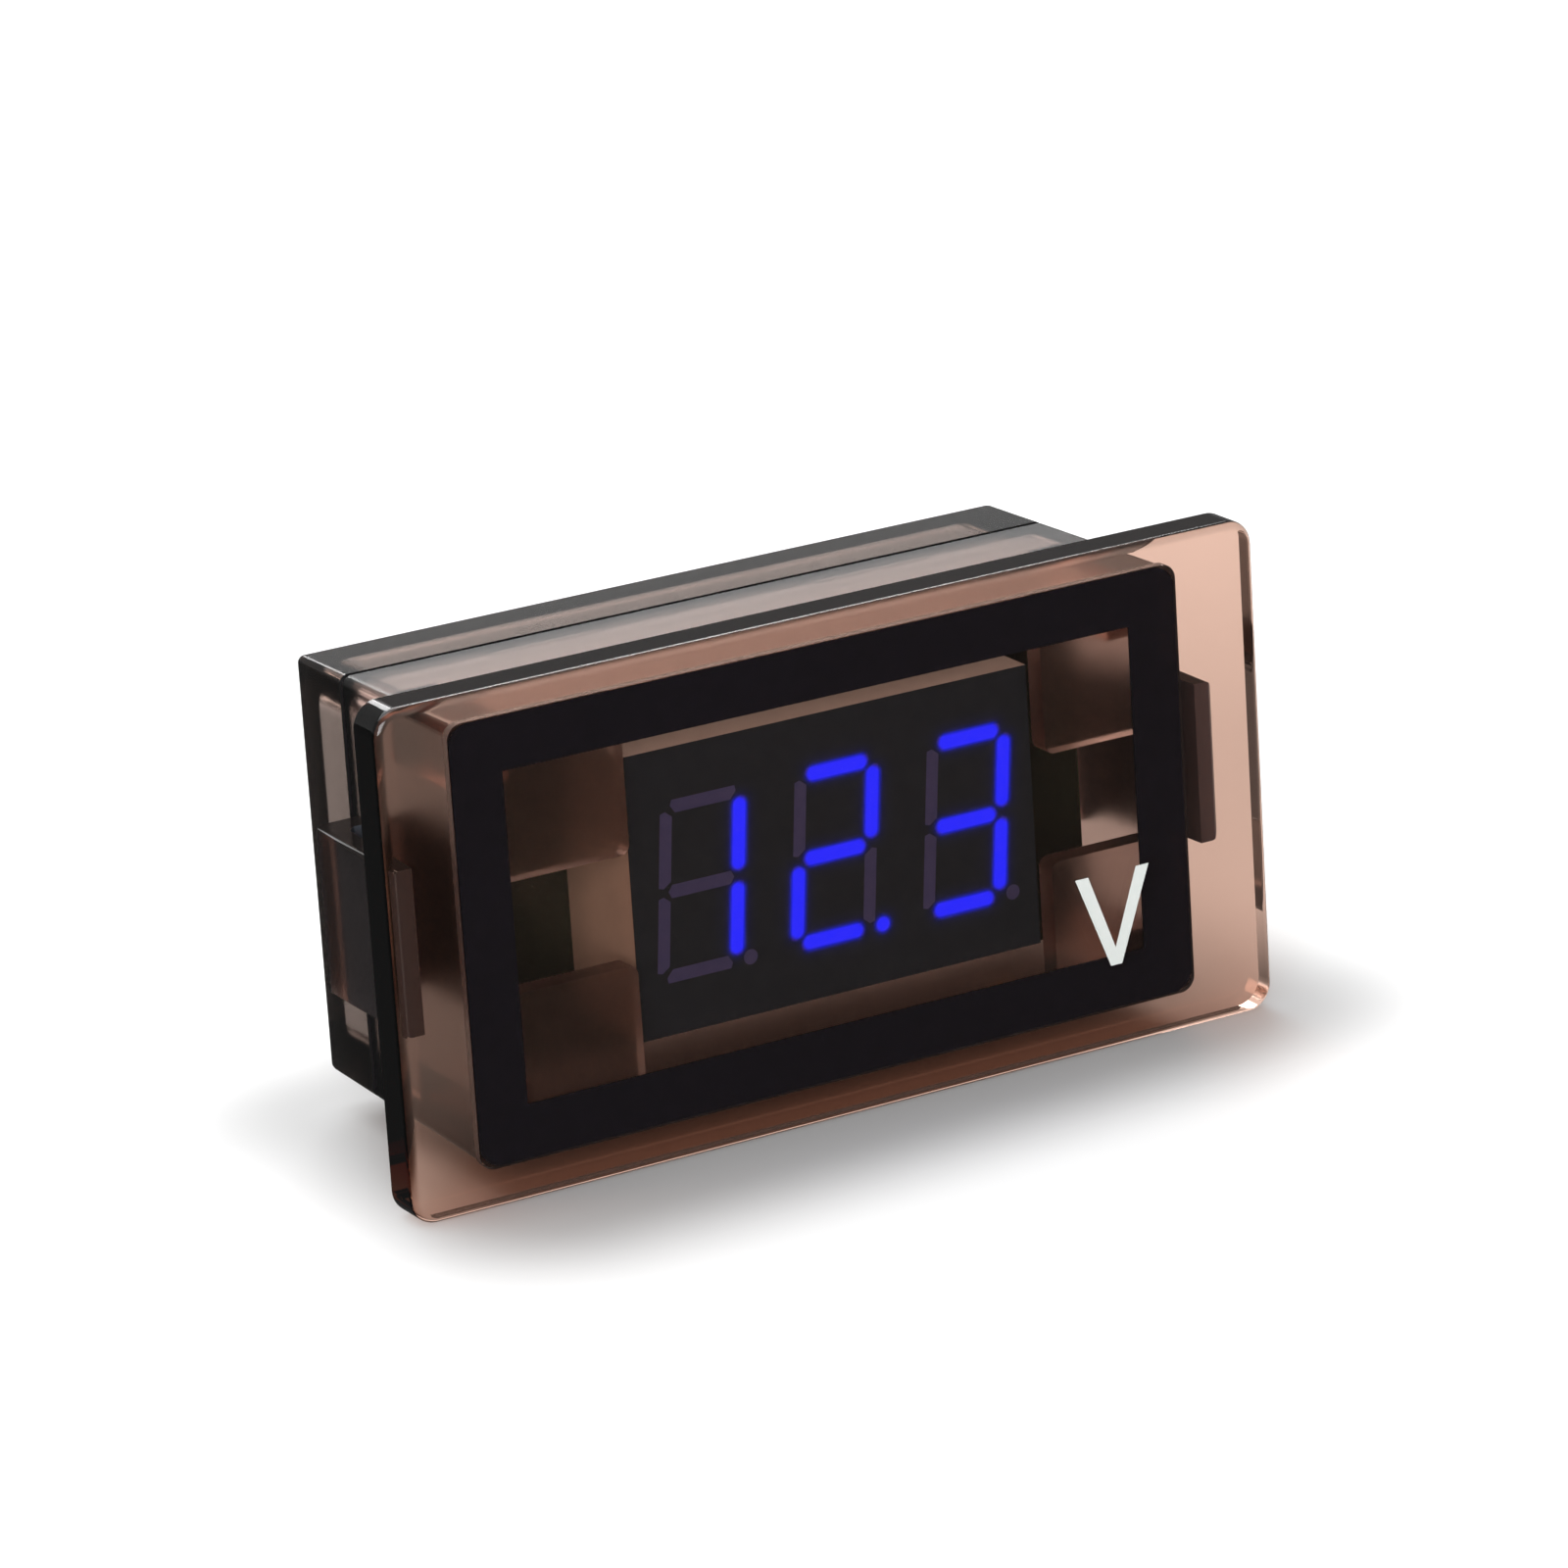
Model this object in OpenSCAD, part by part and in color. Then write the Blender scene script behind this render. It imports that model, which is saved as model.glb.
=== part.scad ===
// Snap-in digital panel meter with a three-digit LED display.
// X runs along the face, Z is up and +Y goes back through the panel.
// The origin is the centre of the panel opening, on the panel's front face.

/* [Bezel] */
// Width of the bezel
bezel_w = 48; // [47:0.5:60]
// Height of the bezel
bezel_h = 25.2; // [24.5:0.1:34]
// Thickness of the bezel in front of the panel
bezel_t = 2.2; // [2:0.1:3]
// Radius of the bezel's four corners
bezel_corner_r = 1.3; // [0.8:0.1:3]
// Radius along the bezel's front edge
bezel_edge_r = 0.4; // [0.2:0.05:0.6]
// Plastic in front of the printed frame
window_t = 1.4; // [1:0.05:1.5]
// Glue gap around the body in the bezel's pocket
pocket_gap = 0.1; // [0.05:0.05:0.2]

/* [Printed frame] */
// Thickness of the printed film
film_t = 0.12; // [0.08:0.02:0.2]
// Width of the black border
border_w = 2.65; // [2:0.05:3]
// Outer corner radius of the black border
border_r = 1.1; // [0.5:0.1:1.5]
// Glue line between the film and the window
film_gap = 0.04; // [0.02:0.01:0.06]

/* [Panel opening] */
// Width of the opening that the spring clips fill
opening_w = 45; // [44:0.25:46]
// Height of the opening that the body fills
opening_h = 22.2; // [22:0.1:24]
// Clearance of the body above and below
opening_gap = 0.22; // [0.1:0.02:0.4]

/* [Body] */
// Width of the body at the panel
body_w = 39.7; // [38.5:0.1:40.5]
// Depth of the body behind the panel face
body_d = 10.1; // [9.9:0.1:14]
// Wall of the body
wall = 1.2; // [1:0.05:1.4]
// Draft angle of the body and the rear cover
draft = 1.2; // [0:0.1:2]
// Corner radius of the body
body_r = 0.7; // [0.4:0.1:1]
// Chamfer on both sides of the seam
seam_c = 0.18; // [0.1:0.02:0.3]
// Thickness of the corner webs that locate the display
web_t = 1.2; // [0.8:0.1:1.5]
// Height of the channels between the corner webs
channel_h = 5.5; // [4:0.25:6.5]
// Side clearance between the webs and the display
web_gap = 0.35; // [0.2:0.05:0.8]
// Radius on the corners of the webs
web_r = 0.5; // [0.2:0.1:0.8]
// Width of the posts that carry the circuit board
post_w = 2.2; // [1.6:0.1:3]

/* [Spring clips] */
// Height of each clip
clip_h = 8.2; // [6:0.2:10]
// Thickness of the clip's leaf
clip_t = 1.05; // [0.8:0.05:1.2]
// Gap between the panel face and the clip's free end
clip_front = 0.9; // [0.6:0.1:2]
// Length of the clip
clip_l = 7.9; // [6:0.1:8.5]
// Thickness of the root that joins the clip to the body
clip_root = 1.3; // [1:0.1:1.8]
// How far the free end springs past the opening's edge
clip_bite = 0.15; // [0:0.05:0.3]
// How much the leaf narrows towards its root
clip_taper = 0.35; // [0.2:0.05:0.6]
// Radius on the clip's outer edges
clip_r = 0.45; // [0.2:0.05:0.5]

/* [Rear cover] */
// Depth of the rear cover
cover_d = 5.2; // [4.8:0.1:8]
// Wall of the rear cover
cover_wall = 1.2; // [1:0.1:1.6]
// Radius around the rear edge
cover_edge_r = 0.6; // [0.3:0.1:0.9]
// Thickness of the lip that enters the body
lip_t = 0.9; // [0.7:0.05:1.1]
// Clearance around the lip
lip_gap = 0.08; // [0.05:0.01:0.12]
// Length of each snap bead on the lip
bead_l = 6; // [4:0.5:8]
// Radius of the snap beads
bead_r = 0.35; // [0.25:0.05:0.4]
// Distance of the snap beads from the middle
bead_x = 9; // [7:0.5:12]
// Diameter of the outlet for the leads
outlet_d = 4.4; // [3:0.1:5]
// Sideways place of the outlet
outlet_x = 11.5; // [6:0.5:12]
// Height of the outlet
outlet_z = -3.5; // [-4:0.5:4]

/* [Display] */
// Width of the display module
display_w = 22.3; // [22.1:0.1:23]
// Height of the display module
display_h = 14.2; // [13.8:0.1:15]
// Depth of the display module
display_d = 6.4; // [6:0.1:6.5]
// Gap between the film and the display
display_back = 0.85; // [0.6:0.05:1]
// Sideways place of the display in the window
display_x = 0.7; // [0:0.1:1]
// Height of the display's centre above the opening's centre
display_z = 0.1; // [-0.4:0.1:0.4]
// Distance from digit to digit
digit_pitch = 7.35; // [7.2:0.05:7.4]
// Height of a digit
digit_h = 9; // [8:0.1:9.2]
// Width of a digit
digit_w = 4.65; // [4:0.05:4.7]
// Width of a lit bar
bar_w = 0.66; // [0.5:0.02:0.8]
// Gap between neighbouring bars
bar_gap = 0.2; // [0.1:0.02:0.3]
// Lean of the digits
slant = 5.2; // [0:0.2:8]
// Diameter of a decimal point
point_d = 0.76; // [0.5:0.02:0.8]
// Distance of the decimal point past the digit
point_gap = 0.45; // [0.3:0.05:0.5]
// Wall of the display shell round its board
shell_wall = 0.8; // [0.6:0.1:1]
// Thickness of the display's own board
display_board_t = 1; // [0.6:0.1:1.4]

/* [Reading] */
// First digit
digit_1 = 1; // [0, 1, 2, 3, 4, 5, 6, 7, 9]
// Second digit, with the lit decimal point
digit_2 = 2; // [0, 1, 2, 3, 4, 5, 6, 7, 9]
// Third digit
digit_3 = 3; // [0, 1, 2, 3, 4, 5, 6, 7, 9]

/* [Circuit board] */
// Thickness of the circuit board
board_t = 1.6; // [1:0.1:1.7]
// Clearance around the circuit board
board_gap = 0.25; // [0.15:0.05:0.4]
// Diameter of the display's pins
pin_d = 0.5; // [0.4:0.02:0.56]
// Distance from pin to pin
pin_pitch = 2.54; // [2.5:0.02:2.6]
// Distance between the two rows of pins
pin_rows = 10.16; // [10:0.04:10.4]
// How far the pins stand out behind the board
pin_out = 1.1; // [0.8:0.1:1.4]
// Distance between the solder pads of the leads
lead_pitch = 2.8; // [2.4:0.1:3]

/* [Hidden] */
eps = 0.01;
arc_step = 22.5;
$fn = 32;

body_h = opening_h - 2 * opening_gap;
inner_w = body_w - 2 * wall;
inner_h = body_h - 2 * wall;
pocket_y = window_t - bezel_t;
film_y = pocket_y + film_gap;
body_y = film_y + film_t;
total_d = body_d + cover_d;

display_y = body_y + display_back;
board_y = display_y + display_d;
board_back = board_y + board_t;
board_w = inner_w - 2 * board_gap;
board_h = inner_h - 2 * board_gap;

// The lip reaches the board's back and clamps the board on the posts.
lip_seat = 0.1;
lip_y = board_back + lip_seat;
bead_y = (lip_y + body_d) / 2;
bead_proud = 0.25;
bead_clear = 0.06;

pin_count = 6;
pin_x = display_x - (pin_count - 1) * pin_pitch / 2;
pin_hole_d = pin_d + 0.2;
solder_r = 0.72;
solder_h = 0.7;
lead_hole_d = 1;
lead_pad_d = 1.9;
lead_pad_t = 0.08;
lead_clear = 0.5;
lead_x = display_x + display_w / 2 + lead_clear + lead_pad_d / 2;
lead_z = -4.6;

// Packages on the back of the board: width, height and rise. Those near an end or a long
// edge of the board keep their distance from it.
left = -board_w / 2;
right = board_w / 2;
top = board_h / 2;
ceramic_in = 2.8;
ceramic_x = left + ceramic_in;
chip = [8.7, 3.9, 1.45];
chip_off = 6;
chip_x = ceramic_x + chip_off;
chip_z = 0.6;
chip_leads = 7;
chip_pitch = 1.27;
chip_lead_out = 1.05;
chip_lead_w = 0.42;
chip_lead_t = 0.2;
standoff = 0.15;
regulator = [4.5, 2.5, 1.5];
regulator_off = 2.9;
regulator_x = display_x + regulator_off;
regulator_z = 0.6;
regulator_pitch = 1.5;
diode = [2.8, 1.7, 1.2];
diode_off = 0.8;
diode_in = 2.1;
diode_x = regulator_x + diode_off;
diode_z = diode_in - top;
diode_tab = [0.9, 0.9, 0.18];
can_d = 4;
can_h = 5;
can_in = 3.9;
can_x = right - can_in;
can_z = 2.6;
can_base = [4.3, 4.3, 0.9];
chip_part = [1.6, 0.8, 0.5];
end_cap = 0.32;
resistor_row = 8;
resistor_pitch = 1.75;
resistor_off = 2;
resistor_in = 1.9;
resistor_x = chip_x + resistor_off;
resistor_z = top - resistor_in;
resistor_spots = [for (i = [0:resistor_row - 1]) [resistor_x + i * resistor_pitch, resistor_z]];
divider_off = 4.1;
divider_z = [1.4, -0.6];
divider_x = lead_x - divider_off;
divider_spots = [for (z = divider_z) [divider_x, z]];
ceramic_z = [3.4, -2.2, 3.7, -3.2];
ceramic_spots = [[ceramic_x, ceramic_z[0]], [ceramic_x, ceramic_z[1]],
    [display_x + pin_pitch, ceramic_z[2]], [regulator_x, ceramic_z[3]]];

// Which bars each numeral lights.
NUMERALS = ["abcdef", "bc", "abdeg", "abcdg", "bcfg", "acdfg", "acdefg", "abc", "abcdefg", "abcdfg"];
BARS = "abcdefg";

smoke = [0.36, 0.24, 0.19, 0.7];

// ---- Shared shapes ----

// A flat outline in X and Z, given a depth along +Y from y.
module upright(y, depth) {
    translate([0, y + depth, 0]) rotate([90, 0, 0]) linear_extrude(height = depth) children();
}

// A rectangle with true round corners, centred on the origin.
module round_rect(w, h, r) {
    union() {
        square([w - 2 * r, h], center = true);
        square([w, h - 2 * r], center = true);
        for (x = [-1, 1], z = [-1, 1])
            translate([x * (w / 2 - r), z * (h / 2 - r)]) circle(r = r);
    }
}

// One thin section of a moulding, drawn in by inset on every side.
module section(w, h, r, y, inset) {
    upright(y, eps) round_rect(w - 2 * inset, h - 2 * inset, max(r - inset, 0.15));
}

// How far the drafted sides have come in at depth y behind the panel face.
function drawn_in(y) = y * tan(draft);

// A drafted length of the housing from y0 to y1, with a chamfer at each end.
module drafted_block(y0, y1, front_c, rear_c) {
    hull() {
        section(body_w, body_h, body_r, y0, drawn_in(y0) + front_c);
        section(body_w, body_h, body_r, y0 + front_c, drawn_in(y0 + front_c));
        section(body_w, body_h, body_r, y1 - rear_c - eps, drawn_in(y1 - rear_c));
        section(body_w, body_h, body_r, y1 - eps, drawn_in(y1) + rear_c);
    }
}

// A box with its front face at y and its middle at x and z.
module box_at(x, y, z, size) {
    translate([x - size[0] / 2, y, z - size[1] / 2]) cube([size[0], size[2], size[1]]);
}

// ---- Front ----

module bezel() {
    color(smoke) difference() {
        bezel_plate();
        upright(pocket_y, bezel_t)
            round_rect(body_w + 2 * pocket_gap, body_h + 2 * pocket_gap, body_r + pocket_gap);
    }
}

// The plate, with a quarter-round edge along its front.
module bezel_plate() {
    long = bezel_w - 2 * bezel_corner_r;
    tall = bezel_h - 2 * bezel_corner_r;
    upright(-bezel_t, bezel_t) square([long, tall], center = true);
    for (side = [0, 180]) {
        rotate([0, side, 0]) translate([long / 2, 0, -tall / 2]) linear_extrude(height = tall) edge_profile();
        rotate([0, side + 90, 0]) translate([tall / 2, 0, -long / 2]) linear_extrude(height = long) edge_profile();
    }
    for (x = [-1, 1], z = [-1, 1])
        translate([x * long / 2, 0, z * tall / 2]) rotate([90, 0, 0])
            rotate_extrude() mirror([1, -1]) rotate(90) mirror([1, 0]) edge_profile();
}

// The section of the plate's rim: its corner at the front is a quarter round.
module edge_profile() {
    translate([0, -bezel_t]) square([bezel_corner_r - bezel_edge_r, bezel_t]);
    translate([0, bezel_edge_r - bezel_t]) square([bezel_corner_r, bezel_t - bezel_edge_r]);
    translate([bezel_corner_r - bezel_edge_r, bezel_edge_r - bezel_t]) intersection() {
        circle(r = bezel_edge_r);
        translate([0, -bezel_edge_r]) square(bezel_edge_r);
    }
}

module printed_frame() {
    color([0.02, 0.02, 0.03]) upright(film_y, film_t) difference() {
        round_rect(body_w, body_h, border_r);
        square([body_w - 2 * border_w, body_h - 2 * border_w], center = true);
    }
}

// ---- Body ----

module body() {
    color(smoke) {
        difference() {
            drafted_block(body_y, body_d, 0, seam_c);
            upright(body_y - 1, body_d - body_y + 2) round_rect(inner_w, inner_h, body_r);
            for (side = [-1, 1]) bead_line(side, bead_r + bead_clear, bead_l + 4 * bead_clear);
        }
        for (x = [-1, 1], z = [-1, 1]) {
            corner_web(x, z);
            board_post(x, z);
        }
        for (x = [0, 1]) mirror([x, 0, 0]) spring_clip();
    }
}

// A web across one corner of the front, beside the display.
module corner_web(x, z) {
    near = [display_w / 2 + web_gap + x * display_x, channel_h / 2];
    far = [inner_w, inner_h] / 2 + [wall, wall] / 2;
    mirror([1 - x, 0, 0]) mirror([0, 0, 1 - z]) upright(body_y, web_t)
        translate(near) near_round(far - near, web_r);
}

// A rectangle from the origin, with a round only at its corner there.
module near_round(size, r) {
    translate([r, 0]) square([size[0] - r, size[1]]);
    translate([0, r]) square([size[0], size[1] - r]);
    translate([r, r]) circle(r = r);
}

// A square post in one corner, from the web to the circuit board.
module board_post(x, z) {
    grip = wall / 2;
    size = post_w + grip;
    upright(body_y + web_t - eps, board_y - body_y - web_t + eps)
        translate([x * (inner_w / 2 + grip - size / 2), z * (inner_h / 2 + grip - size / 2)])
            square(size, center = true);
}

// The right-hand spring clip: a leaf that runs forward from its root on the side wall.
module spring_clip() {
    rear = clip_front + clip_l;
    tip_x = opening_w / 2 + clip_bite;
    root_x = tip_x - clip_taper;
    in_wall = inner_w / 2 + wall / 2 - drawn_in(rear);
    lead = clip_r;
    intersection() {
        translate([0, 0, -clip_h / 2]) linear_extrude(height = clip_h) polygon([
            [in_wall, rear - clip_root], [root_x - clip_t - lead, rear - clip_root],
            [root_x - clip_t, rear - clip_root - lead], [tip_x - clip_t, clip_front],
            [tip_x - lead / 2, clip_front], [tip_x, clip_front + lead / 2],
            [root_x, rear - lead], [root_x - lead, rear], [in_wall, rear]]);
        upright(clip_front - 1, clip_l + 2)
            translate([tip_x / 2, 0]) round_rect(tip_x, clip_h, clip_r);
    }
}

// The snap beads on one long side, or the grooves that hold them.
module bead_line(side, r, length) {
    axis_z = side * (inner_h / 2 - lip_gap + bead_proud - bead_r);
    for (x = [-1, 1])
        translate([x * bead_x - length / 2, bead_y, axis_z]) rotate([0, 90, 0]) cylinder(r = r, h = length);
}

// ---- Rear cover ----

module rear_cover() {
    room = total_d - cover_wall;
    color(smoke) difference() {
        union() {
            cover_shell();
            upright(lip_y, body_d - lip_y + seam_c + eps)
                round_rect(inner_w - 2 * lip_gap, inner_h - 2 * lip_gap, body_r);
            for (side = [-1, 1]) bead_line(side, bead_r, bead_l);
        }
        upright(lip_y - 1, room - lip_y + 1)
            round_rect(inner_w - 2 * lip_gap - 2 * lip_t, inner_h - 2 * lip_gap - 2 * lip_t, body_r);
        translate([outlet_x, total_d + 1, outlet_z]) rotate([90, 0, 0])
            cylinder(d = outlet_d, h = cover_wall + 2);
    }
}

// The drafted cover with a chamfer at the seam and a round rear edge.
module cover_shell() {
    hull() {
        section(body_w, body_h, body_r, body_d, drawn_in(body_d) + seam_c);
        section(body_w, body_h, body_r, body_d + seam_c, drawn_in(body_d + seam_c));
        for (a = [0:arc_step:90])
            section(body_w, body_h, body_r,
                total_d - eps - cover_edge_r * (1 - sin(a)),
                drawn_in(total_d - cover_edge_r) + cover_edge_r * (1 - cos(a)));
    }
}

// ---- Display ----

// Leans a point to the right with height.
function lean(p) = [p[0] + p[1] * tan(slant), p[1]];

// A bar along X: its outer edge is long and its inner edge is drawn in by cut.
function bar_points(length, cut_low, cut_high) = [
    [-length / 2 + cut_low, -bar_w / 2], [length / 2 - cut_low, -bar_w / 2],
    [length / 2, (cut_low - cut_high) / 4], [length / 2 - cut_high, bar_w / 2],
    [-length / 2 + cut_high, bar_w / 2], [-length / 2, (cut_low - cut_high) / 4]];

// The corners of each of the seven bars, upright, around the digit's centre.
function bar_outline(name) =
    let (across = digit_w - bar_w - 2 * bar_gap, up = (digit_h - bar_w) / 2,
        tall = (digit_h - bar_w) / 2 - 2 * bar_gap, side = (digit_w - bar_w) / 2,
        flat = [0.12, 0.45] * bar_w, even = [0.3, 0.3] * bar_w)
    name == "a" ? move(bar_points(across, flat[1], flat[0]), [0, up]) :
    name == "d" ? move(bar_points(across, flat[0], flat[1]), [0, -up]) :
    name == "g" ? bar_points(across, even[0], even[1]) :
    name == "b" ? move(upend(bar_points(tall, flat[0], flat[1])), [side, up / 2]) :
    name == "c" ? move(upend(bar_points(tall, flat[0], flat[1])), [side, -up / 2]) :
    name == "e" ? move(upend(bar_points(tall, flat[1], flat[0])), [-side, -up / 2]) :
    move(upend(bar_points(tall, flat[1], flat[0])), [-side, up / 2]);

function move(points, by) = [for (p = points) p + by];
function upend(points) = [for (p = points) [-p[1], p[0]]];
function digit_x(i) = display_x + (i - 2) * digit_pitch;
function lights(numeral, bar) = len(search(bar, NUMERALS[numeral])) > 0;

// The resin bars of digit i that are lit, or those that are dark.
module digit_bars(i, numeral, lit) {
    for (bar = BARS)
        if (lights(numeral, bar) == lit) resin(digit_x(i)) polygon([for (p = bar_outline(bar)) lean(p)]);
}

// Clear resin that fills one well of the shell from the face to the display's board.
module resin(x) {
    translate([x, 0, display_z]) upright(display_y, display_d - display_board_t) children();
}

module point(i) {
    low = -(digit_h - bar_w) / 2;
    resin(digit_x(i)) translate([digit_w / 2 + point_gap + low * tan(slant), low]) circle(d = point_d);
}

module display_shell() {
    color([0.9, 0.88, 0.82]) difference() {
        translate([display_x, 0, display_z]) upright(display_y, display_d)
            square([display_w, display_h], center = true);
        translate([display_x, 0, display_z]) upright(board_y - display_board_t, display_board_t + 1)
            square([display_w - 2 * shell_wall, display_h - 2 * shell_wall], center = true);
        for (i = [1:3]) {
            for (lit = [true, false]) digit_bars(i, 8, lit);
            point(i);
        }
    }
}

module display_board() {
    fit = 0.05;
    color([0.85, 0.82, 0.7]) difference() {
        translate([display_x, 0, display_z]) upright(board_y - display_board_t, display_board_t)
            square([display_w - 2 * shell_wall - 2 * fit, display_h - 2 * shell_wall - 2 * fit], center = true);
        at_pins() pin_cut(board_y - display_board_t, pin_d);
    }
}

// Repeats its children at every pin of the display's two rows.
module at_pins() {
    for (i = [0:pin_count - 1], row = [-1, 1])
        if (i < pin_count - 1 || row < 0)
            translate([pin_x + i * pin_pitch, 0, display_z + row * pin_rows / 2]) children();
}

// A hole along Y that passes right through a board from y.
module pin_cut(y, d) {
    translate([0, y - 1, 0]) rotate([-90, 0, 0]) cylinder(d = d, h = board_t + display_board_t + 2);
}

module display_pins() {
    start = board_y - display_board_t;
    color("silver") at_pins() translate([0, start, 0]) rotate([-90, 0, 0])
        cylinder(d = pin_d, h = board_back + pin_out - start);
}

module digit_lit(i, numeral) {
    color([0.1, 0.15, 1]) digit_bars(i, numeral, true);
}

module digit_dark(i, numeral) {
    color([0.4, 0.36, 0.44]) digit_bars(i, numeral, false);
}

module lit_point() {
    color([0.1, 0.15, 1]) point(2);
}

module dark_points() {
    color([0.4, 0.36, 0.44]) for (i = [1, 3]) point(i);
}

// ---- Circuit board ----

module circuit_board() {
    color([0.08, 0.3, 0.16]) difference() {
        upright(board_y, board_t) square([board_w, board_h], center = true);
        at_pins() pin_cut(board_y, pin_hole_d);
        at_leads() pin_cut(board_y, lead_hole_d);
    }
}

// Repeats its children at the three solder pads of the leads.
module at_leads() {
    for (i = [-1:1]) translate([lead_x, 0, lead_z + i * lead_pitch]) children();
}

module solder_joints() {
    color("silver") at_pins() translate([0, board_back, 0]) rotate([-90, 0, 0]) difference() {
        cylinder(r1 = solder_r, r2 = pin_d / 2 + 0.1, h = solder_h);
        translate([0, 0, -1]) cylinder(d = pin_d, h = solder_h + 2);
    }
}

// Plated eyelets: a ring on each face of the board, joined by the plating in the hole.
module lead_pads() {
    bore = lead_hole_d - 2 * lead_pad_t;
    color([0.85, 0.7, 0.3]) at_leads() translate([0, board_y - lead_pad_t, 0]) rotate([-90, 0, 0])
        difference() {
            union() {
                cylinder(d = lead_pad_d, h = lead_pad_t);
                cylinder(d = lead_hole_d, h = board_t + 2 * lead_pad_t);
                translate([0, 0, board_t + lead_pad_t]) cylinder(d = lead_pad_d, h = lead_pad_t);
            }
            translate([0, 0, -1]) cylinder(d = bore, h = board_t + 2);
        }
}

// ---- Parts on the back of the board ----

module controller_body() {
    dimple = 0.3;
    color([0.05, 0.05, 0.06]) difference() {
        box_at(chip_x, board_back + standoff, chip_z, chip);
        translate([chip_x - chip[0] / 2 + 3 * dimple, board_back + standoff + chip[2] - 0.1,
            chip_z - chip[1] / 2 + 3 * dimple]) rotate([-90, 0, 0]) cylinder(r = dimple, h = 1);
    }
}

// Gull-wing leads along both long sides of the controller.
module controller_leads() {
    color("silver") for (i = [0:chip_leads - 1], side = [0, 1])
        translate([chip_x + (i - (chip_leads - 1) / 2) * chip_pitch, board_back, chip_z])
            mirror([0, 0, side]) translate([0, 0, chip[1] / 2])
                gull_wing(chip_lead_w, chip_lead_out, standoff + chip[2] / 2);
}

// One bent lead of the given width, reach and rise, its foot flat on the board.
module gull_wing(width, reach, rise) {
    t = chip_lead_t;
    rotate([90, 0, 90]) translate([0, 0, -width / 2]) linear_extrude(height = width)
        polygon([[rise, 0], [rise, reach * 0.4], [t, reach * 0.55], [t, reach], [0, reach],
            [0, reach * 0.4], [rise - t, reach * 0.25], [rise - t, 0]]);
}

module regulator_body() {
    color([0.05, 0.05, 0.06]) box_at(regulator_x, board_back, regulator_z, regulator);
}

// Three short leads below the regulator and its cooling tab above.
module regulator_leads() {
    low = regulator_z - regulator[1] / 2;
    high = regulator_z + regulator[1] / 2;
    color("silver") {
        for (i = [-1:1]) box_at(regulator_x + i * regulator_pitch, board_back, low - 0.4, [0.45, 0.8, 0.4]);
        box_at(regulator_x, board_back, high + 0.3, [1.7, 0.6, 0.4]);
    }
}

module diode_body() {
    color([0.05, 0.05, 0.06]) box_at(diode_x, board_back + diode_tab[2], diode_z,
        [diode[0], diode[1], diode[2] - diode_tab[2]]);
}

module diode_tabs() {
    color("silver") for (side = [-1, 1])
        box_at(diode_x + side * diode[0] / 2, board_back, diode_z, diode_tab);
}

module capacitor_can() {
    neck = 0.15;
    color("lightgray") translate([can_x, board_back + can_base[2], can_z]) rotate([-90, 0, 0])
        rotate_extrude() polygon([[0, 0], [can_d / 2, 0], [can_d / 2, 0.5], [can_d / 2 - neck, 0.75],
            [can_d / 2, 1], [can_d / 2, can_h - can_base[2] - neck],
            [can_d / 2 - neck, can_h - can_base[2]], [0, can_h - can_base[2]]]);
}

module capacitor_base() {
    cut = 0.8;
    half = can_base[0] / 2;
    color([0.05, 0.05, 0.06]) translate([can_x, 0, can_z]) upright(board_back, can_base[2])
        polygon([[-half, -half], [half, -half], [half, half - cut], [half - cut, half],
            [cut - half, half], [-half, half - cut]]);
}

// The ceramic middle of each chip part on the board.
module chip_bodies(spots) {
    for (p = spots)
        box_at(p[0], board_back, p[1], [chip_part[1], chip_part[0] - 2 * end_cap, chip_part[2]]);
}

// The two solder caps of each chip part.
module chip_ends(spots) {
    for (p = spots, side = [-1, 1])
        box_at(p[0], board_back, p[1] + side * (chip_part[0] - end_cap) / 2,
            [chip_part[1], end_cap, chip_part[2]]);
}

module resistor_bodies() {
    color([0.06, 0.06, 0.07]) chip_bodies(concat(resistor_spots, divider_spots));
}

module resistor_ends() {
    color("silver") chip_ends(concat(resistor_spots, divider_spots));
}

module ceramic_bodies() {
    color([0.6, 0.45, 0.3]) chip_bodies(ceramic_spots);
}

module ceramic_ends() {
    color("silver") chip_ends(ceramic_spots);
}

bezel();
printed_frame();
body();
rear_cover();
display_shell();
display_board();
display_pins();
digit_lit(1, digit_1);  // digit_1_lit
digit_dark(1, digit_1);  // digit_1_dark
digit_lit(2, digit_2);  // digit_2_lit
digit_dark(2, digit_2);  // digit_2_dark
digit_lit(3, digit_3);  // digit_3_lit
digit_dark(3, digit_3);  // digit_3_dark
lit_point();
dark_points();
circuit_board();
solder_joints();
lead_pads();
controller_body();
controller_leads();
regulator_body();
regulator_leads();
diode_body();
diode_tabs();
capacitor_can();
capacitor_base();
resistor_bodies();
resistor_ends();
ceramic_bodies();
ceramic_ends();
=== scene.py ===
"""Dresses the solids of a snap-in digital panel meter and sets up its studio.

Every class below is one sub-assembly, one finish or one part of the studio. Sizes are in metres
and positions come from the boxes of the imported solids.
"""

import logging
from collections.abc import Callable
from dataclasses import dataclass, field
from enum import Enum
from math import radians

import bmesh
import bpy
import numpy as np
from mathutils import Euler, Matrix, Vector

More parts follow.
